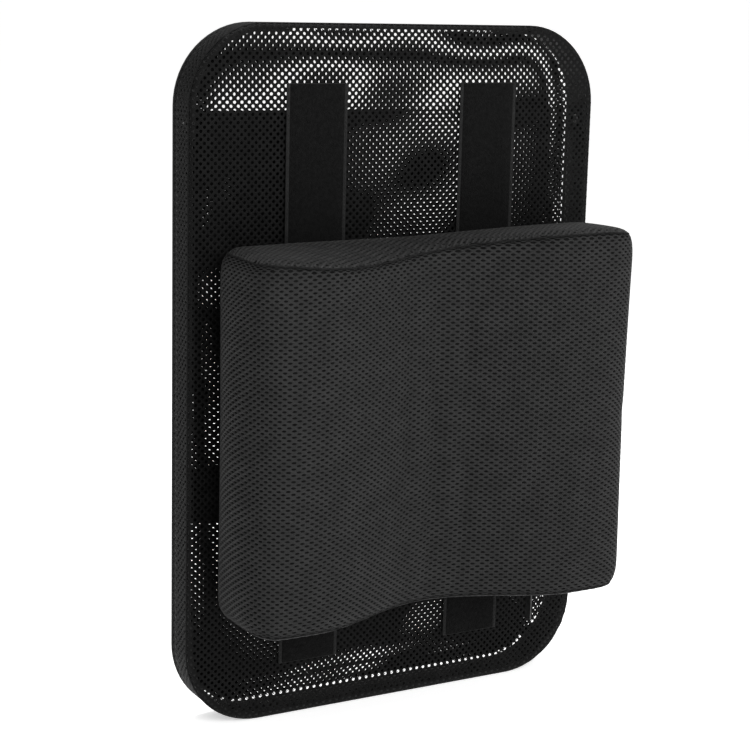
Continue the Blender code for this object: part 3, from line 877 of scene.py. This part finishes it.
def inflate(piece):
    # remesh, then let the pad swell between its pinned rims, and cap how far a point may go
    only(piece)
    bpy.ops.object.mode_set(mode="EDIT")
    bpy.ops.mesh.select_all(action="SELECT")
    bpy.ops.mesh.remove_doubles(threshold=cushion["merge"])
    bpy.ops.mesh.normals_make_consistent(inside=False)
    bpy.ops.object.mode_set(mode="OBJECT")
    remesh = piece.modifiers.new("remesh", "REMESH")
    remesh.mode = "VOXEL"
    remesh.voxel_size = cushion["voxel"]
    applyAll(piece)
    count = len(piece.data.vertices)
    rest = np.zeros(count * 3)
    piece.data.vertices.foreach_get("co", rest)
    rest = rest.reshape(-1, 3)
    x, y, z = (rest - (cushion["centreX"], 0, 0)).T
    nearTop = np.abs(z - (topHeight(x, y) - cushion["slack"])) < cushion["pinTop"]
    nearLow = z < cushion["low"] + cushion["pinLow"]
    front = y < cushionFront(x) + cushion["pinFront"]
    rearFace = y > cushion["rear"] - cushion["pinRear"]
    pins = piece.vertex_groups.new(name="rims")
    pinned = np.nonzero((front & (nearTop | nearLow)) | rearFace)[0]
    pins.add([int(k) for k in pinned], 1.0, "REPLACE")
    cloth = piece.modifiers.new("cloth", "CLOTH")
    cloth.settings.use_pressure = True
    cloth.settings.uniform_pressure_force = cushion["pressure"]
    cloth.settings.effector_weights.gravity = 0
    cloth.settings.vertex_group_mass = "rims"
    cloth.point_cache.frame_start = 1
    cloth.point_cache.frame_end = cushion["frames"]
    for number in range(1, cushion["frames"] + 1):
        scene.frame_set(number)
    swollen = piece.evaluated_get(bpy.context.evaluated_depsgraph_get())
    moved = np.zeros(count * 3)
    swollen.data.vertices.foreach_get("co", moved)
    move = moved.reshape(-1, 3) - rest
    length = np.linalg.norm(move, axis=1)[:, None]
    move *= np.minimum(1, cushion["cap"] / np.maximum(length, 1e-9))
    print("pad swelled by at most", round(float(length.max()) * 1000, 1), "mm")
    piece.modifiers.remove(cloth)
    scene.frame_set(1)
    rest = rest + move
    piece.data.vertices.foreach_set("co", rest.ravel())
    smoothing = piece.modifiers.new("smoothing", "SMOOTH")
    smoothing.factor = cushion["smoothing"]
    smoothing.iterations = cushion["smoothPasses"]
    finer = piece.modifiers.new("finer", "SUBSURF")
    finer.levels = 1
    finer.render_levels = 1
    applyAll(piece)
    piece.data.shade_smooth()


pad = makePadForm()
inflate(pad)
print("cushion pad,", len(pad.data.polygons), "faces")

coverKnit = {
    "pitch": 0.0075,
    "row": 0.0023,
    "hole": (0.0036, 0.0016),
    "roll": 0.0009,
    "seamBand": 0.014,        # below the top seam, where the holes are pulled open
    "seamOpen": 1.45,
    "clear": 0.0006,          # from a sewn rim to the outermost holes' middles
    "reachLow": 0.010,        # how far past the cushion's height the walls' cloth is laid out
    "reachHigh": 0.015,
}
endKnit = {"hole": (0.0026, 0.0012), "roll": 0.0005}
coverSeam = {"radius": 0.0008, "points": 400, "sink": 0.6}
padTree = BVHTree.FromObject(pad, bpy.context.evaluated_depsgraph_get())


def onPad(base, out, lift):
    # where a line into the pad meets it near a point of the plain form, lifted off its surface
    hit, _, _, _ = padTree.ray_cast(base + out * cushion["probe"], -out)
    if hit is None or (hit - base).length > cushion["probeLimit"]:
        hit = padTree.find_nearest(base)[0]
    return hit + out * lift


def planRun():
    # the plan at an even 1 mm, with its ways out and the distance along it from the rear's middle
    plan = cushionPlan()
    plan = np.concatenate([plan, plan[:1]])
    along = np.concatenate([[0], np.cumsum(np.linalg.norm(np.diff(plan, axis=0), axis=1))])
    even = np.linspace(0, along[-1], round(along[-1] / 0.001) + 1)
    plan = np.stack([np.interp(even, along, plan[:, axis]) for axis in (0, 1)], -1)
    ways = planNormals(plan[:-1])
    return plan, np.concatenate([ways, ways[:1]]), even


def alongPlan(u, run):
    plan, ways, along = run
    point = np.stack([np.interp(u, along, plan[:, axis]) for axis in (0, 1)], -1)
    way = np.stack([np.interp(u, along, ways[:, axis]) for axis in (0, 1)], -1)
    return point, way / np.linalg.norm(way, axis=1)[:, None]


def rimTurn(u, run, v, top):
    # follows the cloth up a wall and over its rounded rim: inset, height and share of the way upright
    point, way = alongPlan(u, run)
    radius = edgeRadius(way)
    if top:
        start = topHeight(point[:, 0], point[:, 1]) - radius
        turn = np.clip((v - start) / radius, 0, math.pi / 4)
        height = np.minimum(v, start) + radius * np.sin(turn)
    else:
        start = cushion["low"] + radius
        turn = np.clip((start - v) / radius, 0, math.pi / 4)
        height = np.maximum(v, start) - radius * np.sin(turn)
    return point - way * (radius * (1 - np.cos(turn)))[:, None], way, height, turn


def rimLimits(u, run):
    # the lowest and highest cloth distances along a wall, at the sewn rims
    point, way = alongPlan(u, run)
    radius = edgeRadius(way)
    spare = radius * (math.pi / 4 - 1)
    return cushion["low"] - spare, topHeight(point[:, 0], point[:, 1]) + spare


def makeCoverWrap():
    # the cover's walls, one band of air mesh with an opening for the rear panel
    run = planRun()
    around = run[2][-1]

    def size(flat):
        near = 1 - (rimLimits(flat[:, 0], run)[1] - flat[:, 1]) / coverKnit["seamBand"]
        return 1 + (coverKnit["seamOpen"] - 1) * smoothStep(near)

    knit = dict(coverKnit, pitch=around / round(around / coverKnit["pitch"]), size=size)
    count = 2 * round(around / knit["pitch"])
    backLow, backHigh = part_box("cover_back")

    def keep(flat):
        low, high = rimLimits(flat[:, 0], run)
        point, way = alongPlan(flat[:, 0], run)
        x = point[:, 0] + cushion["centreX"]
        window = (way[:, 1] > 0.99) & (x > backLow.x) & (x < backHigh.x)
        window &= (flat[:, 1] > backLow.z) & (flat[:, 1] < backHigh.z)
        whole = (flat[:, 0] > -1e-6) & (flat[:, 0] < around - 1e-6)
        walls = (flat[:, 1] > low + coverKnit["clear"]) & (flat[:, 1] < high - coverKnit["clear"])
        return whole & walls & ~window

    def place(flat, depth):
        u = np.mod(flat[:, 0], around)
        low, high = rimLimits(u, run)
        v = np.clip(flat[:, 1], low, high)
        middle = (cushion["low"] + cushion["high"]) / 2
        upper = rimTurn(u, run, np.maximum(v, middle), True)
        lower = rimTurn(u, run, np.minimum(v, middle), False)
        points = []
        for k, height in enumerate(v):
            at, way, z, turn = (part[k] for part in (upper if height > middle else lower))
            rise = math.sin(turn) * (1 if height > middle else -1)
            out = Vector((way[0] * math.cos(turn), way[1] * math.cos(turn), rise))
            base = Vector((at[0] + cushion["centreX"], at[1], z))
            points.append(onPad(base, out, cushion["cover"] - depth[k]))
        return points

    low, high = cushion["low"] - coverKnit["reachLow"], cushion["high"] + coverKnit["reachHigh"]
    found = latticeCells((0, low), (around, high), knit, keep)
    wrap = latticeSheet("cushion_cover_wrap", found, knit, place, around=count)
    settle(wrap, "cushion", "cover_knit", coverKnitFinish, "cushion_cover")


def planInside(flat, tree, run):
    # distance inside the plan, and the way out at the nearest point of it
    plan, ways, _ = run
    index = np.array([tree.find((x, y, 0))[1] for x, y in flat])
    way = ways[index]
    return -np.sum((flat - plan[index]) * way, axis=1), way


def makeCoverEnd(name, top):
    # the cover's top or underside panel
    run = planRun()
    tree = KDTree(len(run[0]))
    for k, (x, y) in enumerate(run[0]):
        tree.insert((x, y, 0), k)
    tree.balance()
    rimShare = 1 - math.sqrt(0.5)
    zipLow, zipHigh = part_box("zip_tape_front")[0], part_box("zip_tape_rear")[1]

    def keep(flat):
        inside, way = planInside(flat, tree, run)
        kept = inside > edgeRadius(way) * rimShare + coverKnit["clear"]
        if not top:
            x = flat[:, 0] + cushion["centreX"]
            slot = (x > zipLow.x) & (x < zipHigh.x) & (flat[:, 1] > zipLow.y) & (flat[:, 1] < zipHigh.y)
            kept &= ~slot
        return kept

    def place(flat, depth):
        inside, way = planInside(flat, tree, run)
        radius = edgeRadius(way)
        short = np.maximum(radius * rimShare - inside, 0)
        flat = flat - way * short[:, None]
        lean = np.clip((radius - np.maximum(inside, radius * rimShare)) / radius, 0, 1)
        upright = np.sqrt(1 - lean ** 2)
        if top:
            z = topHeight(flat[:, 0], flat[:, 1]) - radius * (1 - upright)
        else:
            z = cushion["low"] + radius * (1 - upright)
        points = []
        for k, (x, y) in enumerate(flat):
            out = Vector((way[k][0] * lean[k], way[k][1] * lean[k], upright[k] * (1 if top else -1)))
            base = Vector((x + cushion["centreX"], y, z[k]))
            points.append(onPad(base, out, cushion["cover"] - depth[k]))
        return points

    reach = cushion["half"]
    low = (-reach, cushion["rear"] - cushion["wing"])
    knit = dict(coverKnit, **endKnit)
    found = latticeCells(low, (reach, cushion["rear"]), knit, keep)
    end = latticeSheet(name, found, knit, place, flip=not top)
    settle(end, "cushion", "cover_knit", topKnitFinish)


def makeCoverSeams():
    run = planRun()
    u = np.linspace(0, run[2][-1], coverSeam["points"], endpoint=False)
    for name, top in (("top", True), ("bottom", False)):
        v = rimLimits(u, run)[1 if top else 0]
        at, way, height, turn = rimTurn(u, run, v, top)
        line = []
        for k in range(len(u)):
            out = Vector((way[k][0] * math.cos(turn[k]), way[k][1] * math.cos(turn[k]),
                          math.sin(turn[k]) * (1 if top else -1)))
            base = Vector((at[k][0] + cushion["centreX"], at[k][1], height[k]))
            line.append(onPad(base, out, cushion["cover"] * coverSeam["sink"]))
        seam = tube("cushion_seam_" + name, line, coverSeam["radius"], closed=True, sides=2)
        settle(seam, "cushion", "cover_knit", seamFinish)


makeCoverWrap()
makeCoverEnd("cushion_cover_top", True)
makeCoverEnd("cushion_cover_base", False)
makeCoverSeams()
settle(pad, "cushion", "foam", linerFinish, "foam_core")


def makeBackPanel():
    low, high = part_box("cover_back")
    panel = block("cushion_back_panel", low, high, 0.0004)
    settle(panel, "cushion", "cover_knit", coverKnitFinish, "cover_back", smooth=40)


makeBackPanel()
print("cushion cover")


# ---- Zip in the cushion's underside ----

zipFacts = {
    "turn": 0.0014,           # pitch of each row of the nylon coil
    "wire": 0.00032,
    "across": 0.0011,         # half the width of a coil row
    "high": 0.00050,          # half its height
    "apart": 0.00085,         # from the zip's middle to the middle of each row
    "turnSteps": 7,
    "stitchPitch": 0.0030,
    "stitch": {"length": 0.0022, "width": 0.00045},
    "stitchInset": 0.0006,
    "stitchProud": 0.0001,
    "tapeRounding": 0.0002,
    "stopRounding": 0.0005,
    "stopGroove": 0.0004,
    "stopPinch": 0.9,         # how much the clips are squeezed at the middle
}


def makeZipCoil():
    low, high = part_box("zip_coil")
    middle = (low + high) / 2
    for name, side in (("front", -1), ("rear", 1)):
        turns = round((high.x - low.x - 4 * zipFacts["wire"]) / zipFacts["turn"])
        steps = turns * zipFacts["turnSteps"]
        points = []
        for step in range(steps + 1):
            angle = 2 * math.pi * (step / zipFacts["turnSteps"] + (0.5 if side > 0 else 0))
            x = low.x + 2 * zipFacts["wire"] + zipFacts["turn"] * step / zipFacts["turnSteps"]
            y = middle.y + side * zipFacts["apart"] + zipFacts["across"] * math.cos(angle) * 0.9
            points.append((x, y, middle.z + zipFacts["high"] * math.sin(angle)))
        row = tube("zip_coil_" + name, points, zipFacts["wire"], sides=1)
        settle(row, "cushion", "zip_nylon", nylonFinish, *(["zip_coil"] if side < 0 else []))


def makeZipTapes():
    for name, side in (("front", -1), ("rear", 1)):
        low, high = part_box("zip_tape_" + name)
        tape = block("zip_tape_%s_weave" % name, low, high, zipFacts["tapeRounding"])
        settle(tape, "cushion", "zip_tape", tapeFinish, "zip_tape_" + name, smooth=40)
        y = low.y + zipFacts["stitchInset"] if side < 0 else high.y - zipFacts["stitchInset"]
        z = low.z - zipFacts["stitchProud"]
        places = [(point, along, Vector((0, 0, -1))) for point, along in
                  evenly([(low.x, y, z), (high.x, y, z)], zipFacts["stitchPitch"])]
        stitches("zip_stitches_" + name, places, zipFacts["stitch"], threadFinish, "cushion", "zip_tape")


def makeZipStops():
    # a crimped clip round both rows at each end, with a pressed groove
    for node in ("zip_stop_top", "zip_stop_bottom"):
        low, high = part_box(node)
        stop = block(node + "_clip", low, high, zipFacts["stopRounding"], 3)
        only(stop)
        bpy.ops.object.mode_set(mode="EDIT")
        bpy.ops.mesh.select_all(action="SELECT")
        bpy.ops.mesh.bisect(plane_co=(low + high) / 2, plane_no=(1, 0, 0))
        bpy.ops.mesh.bevel(offset=zipFacts["stopGroove"], segments=2, profile=0.2, affect="EDGES")
        pinch = zipFacts["stopPinch"]
        bpy.ops.transform.resize(value=(1, pinch, pinch), center_override=(low + high) / 2)
        bpy.ops.object.mode_set(mode="OBJECT")
        settle(stop, "cushion", "zip_metal", metalFinish, node, smooth=35)


makeZipCoil()
makeZipTapes()
makeZipStops()
print("zip")


# ---- Strap and buckle behind the panel ----

strapFacts = {
    "rib": 0.0011,            # pitch of the elastic's cross ribs
    "ribHeight": 0.00010,
    "bend": 0.0011,           # rounding where the webbing turns
    "rounding": 0.00035,
    "sewn": 0.024,            # length sewn back on itself at the plug
    "clear": 0.0003,
    "stitchPitch": 0.0032,
    "stitch": {"length": 0.0025, "width": 0.00055},
    "boxInset": 0.0035,       # from a box stitch to the edges of what it sews
    "stitchProud": 0.0001,
    "slot": 0.0070,           # from the buckle's end to where the webbing passes through
}
strapLow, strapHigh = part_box("elastic_strap_left")
strapMiddle = (strapLow.y + strapHigh.y) / 2
strapThick = strapHigh.y - strapLow.y


def turned(points, radius, steps=5):
    # a line in X and Y whose corners are rounded by short curves
    line = [Vector(points[0])]
    for before, corner, after in zip(points, points[1:], points[2:]):
        before, corner, after = Vector(before), Vector(corner), Vector(after)
        reach = min(radius * 1.6, (before - corner).length / 2, (after - corner).length / 2)
        start = corner + (before - corner).normalized() * reach
        end = corner + (after - corner).normalized() * reach
        for step in range(steps + 1):
            t = step / steps
            line.append(start * (1 - t) ** 2 + corner * 2 * t * (1 - t) + end * t ** 2)
    return line + [Vector(points[-1])]


def webbing(name, points, thick, low, high):
    # webbing set on edge along a line in X and Y, ribbed across, between two heights
    line = [point for point, _ in evenly([(x, y, 0) for x, y in turned(points, strapFacts["bend"])],
                                         strapFacts["rib"] / 2)]
    line = [Vector((*points[0], 0))] + line + [Vector((*points[-1], 0))]
    curve = bpy.data.curves.new(name, "CURVE")
    curve.dimensions = "2D"
    curve.fill_mode = "NONE"
    curve.extrude = (high - low) / 2
    spline = curve.splines.new("POLY")
    spline.points.add(len(line) - 1)
    for knot, point in zip(spline.points, line):
        knot.co = (*point, 1)
    piece = bpy.data.objects.new(name, curve)
    piece.location.z = (low + high) / 2
    scene.collection.objects.link(piece)
    only(piece)
    bpy.ops.object.convert(target="MESH")
    piece = bpy.context.active_object
    solid = piece.modifiers.new("thickness", "SOLIDIFY")
    solid.thickness = thick
    solid.offset = 0
    edge = piece.modifiers.new("edge", "BEVEL")
    edge.width = strapFacts["rounding"]
    edge.segments = 2
    edge.angle_limit = math.radians(60)
    applyAll(piece)
    only(piece)
    bpy.ops.object.transform_apply(location=True, rotation=False, scale=False)
    rib(piece)
    bpy.ops.object.mode_set(mode="EDIT")
    bpy.ops.mesh.select_all(action="SELECT")
    bpy.ops.mesh.normals_make_consistent(inside=False)
    bpy.ops.object.mode_set(mode="OBJECT")
    return piece


def rib(piece):
    # every other row of points stands a little proud along its own normal
    for point in piece.data.vertices:
        wave = math.cos(2 * math.pi * point.co.x / strapFacts["rib"])
        point.co += point.normal * (strapFacts["ribHeight"] * wave / 2)


def boxStitch(name, low, high, y, body):
    # a sewn rectangle with its two diagonals
    inset = strapFacts["boxInset"]
    a, b = Vector((low.x + inset, y, low.z + inset)), Vector((high.x - inset, y, low.z + inset))
    c, d = Vector((high.x - inset, y, high.z - inset)), Vector((low.x + inset, y, high.z - inset))
    out = Vector((0, 1, 0))
    found = evenly([a, b, c, d], strapFacts["stitchPitch"], closed=True)
    found += evenly([a, c], strapFacts["stitchPitch"]) + evenly([b, d], strapFacts["stitchPitch"])
    places = [(point, along, out) for point, along in found]
    stitches(name, places, strapFacts["stitch"], threadFinish, body, "webbing")


def makeAnchors():
    for side in ("left", "right"):
        node = "strap_anchor_" + side
        low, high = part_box(node)
        y = (low.y + high.y) / 2
        patch = webbing(node + "_web", [(low.x, y), (high.x, y)], high.y - low.y, low.z, high.z)
        settle(patch, "panel", "webbing", webFinish, node, smooth=40)
        boxStitch(node + "_stitches", low, high, high.y + strapFacts["stitchProud"], "panel")


def makeLeftStrap():
    # from its anchor, under the strap slider, round the socket's bar and back to the slider
    socketLow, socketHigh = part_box("buckle_socket")
    returnLow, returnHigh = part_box("strap_return")
    sliderLow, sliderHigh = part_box("strap_slider")
    under = socketLow.y - strapFacts["clear"] - strapThick / 2
    over = socketHigh.y + strapFacts["clear"] + strapThick / 2
    slot = socketLow.x + strapFacts["slot"]
    backY = (returnLow.y + returnHigh.y) / 2
    outside = socketLow.x - strapFacts["clear"] - strapThick / 2
    line = [(strapLow.x, strapMiddle), (socketLow.x - 0.010, strapMiddle), (socketLow.x - 0.003, under),
            (slot, under), (slot, over), (outside, over), (outside - 0.0005, backY),
            (outside - 0.004, backY)]
    strap = webbing("elastic_strap_left_web", line, strapThick, strapLow.z, strapHigh.z)
    settle(strap, "panel", "webbing", webFinish, "elastic_strap_left", smooth=40)
    sliderMiddle = (sliderLow.x + sliderHigh.x) / 2
    line = [(outside - 0.0042, backY), (sliderMiddle - 0.0035, backY),
            (sliderMiddle - 0.0055, backY - 0.0026)]
    back = webbing("strap_return_web", line, returnHigh.y - returnLow.y, returnLow.z, returnHigh.z)
    settle(back, None, "webbing", webFinish, "strap_return", smooth=40)
    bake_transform(back)


def makeRightStrap():
    # from its anchor to the plug's bar, round it, and sewn back on itself
    low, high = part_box("elastic_strap_right")
    plugLow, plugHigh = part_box("buckle_plug")
    under = plugLow.y - strapFacts["clear"] - strapThick / 2
    over = plugHigh.y + strapFacts["clear"] + strapThick / 2
    slot = plugHigh.x - strapFacts["slot"]
    outside = plugHigh.x + strapFacts["clear"] + strapThick / 2
    doubled = strapMiddle + strapThick + strapFacts["clear"] / 2
    sewnEnd = outside + strapFacts["sewn"]
    line = [(high.x, strapMiddle), (outside + 0.009, strapMiddle), (outside + 0.002, under), (slot, under),
            (slot, over), (outside, over), (outside + 0.0015, doubled), (sewnEnd, doubled)]
    strap = webbing("elastic_strap_right_web", line, strapThick, low.z, high.z)
    settle(strap, None, "webbing", webFinish, "elastic_strap_right", smooth=40)
    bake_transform(strap)
    boxStitch("elastic_strap_right_stitches", Vector((outside + 0.003, 0, low.z)),
              Vector((sewnEnd, 0, high.z)), doubled + strapThick / 2 + strapFacts["stitchProud"],
              "buckle_plug")


grips = {
    "count": 3,
    "width": 0.0012,
    "pitch": 0.0026,
    "high": 0.0005,
    "sunk": 0.0002,
    "rounding": 0.00035,
    "share": 0.55,            # of the buckle's width
    "fromSocketEnd": 0.018,
    "fromPlugEnd": 0.0165,
}


def makeBuckleGrips():
    # moulded finger ribs on the buckle's outer face
    for node, body in (("buckle_socket", "panel"), ("buckle_plug", "buckle_plug")):
        low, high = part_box(node)
        middle = (low.z + high.z) / 2
        reach = (high.z - low.z) / 2 * grips["share"]
        made = []
        for k in range(grips["count"]):
            onSocket = body == "panel"
            start = low.x + grips["fromSocketEnd"] if onSocket else high.x - grips["fromPlugEnd"]
            x = start + k * grips["pitch"]
            made.append(block("grip", (x, high.y - grips["sunk"], middle - reach),
                              (x + grips["width"], high.y + grips["high"], middle + reach),
                              grips["rounding"], 3))
        deselectAll()
        for piece in made:
            piece.select_set(True)
        bpy.context.view_layer.objects.active = made[0]
        bpy.ops.object.join()
        piece = bpy.context.active_object
        piece.name = node + "_grips"
        settle(piece, body, "buckle_plastic", plasticFinish, smooth=40)


makeAnchors()
makeLeftStrap()
makeRightStrap()
makeBuckleGrips()
print("strap and buckle")


# ---- Finishes on the CAD nodes that keep their shape ----

nodeFinishes = {
    "hoop_rail": hoopFinish,
    "hoop_corner": hoopFinish,
    "hoop_rivet": steelFinish,
    "zip_slider": metalFinish,
    "zip_pull": metalFinish,
    "strap_slider": plasticFinish,
    "buckle": plasticFinish,
}
for nodeName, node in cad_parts.items():
    for start, finish in nodeFinishes.items():
        if nodeName.startswith(start):
            node.data.materials.clear()
            node.data.materials.append(finish)
print("hoop, slider and buckle finishes")
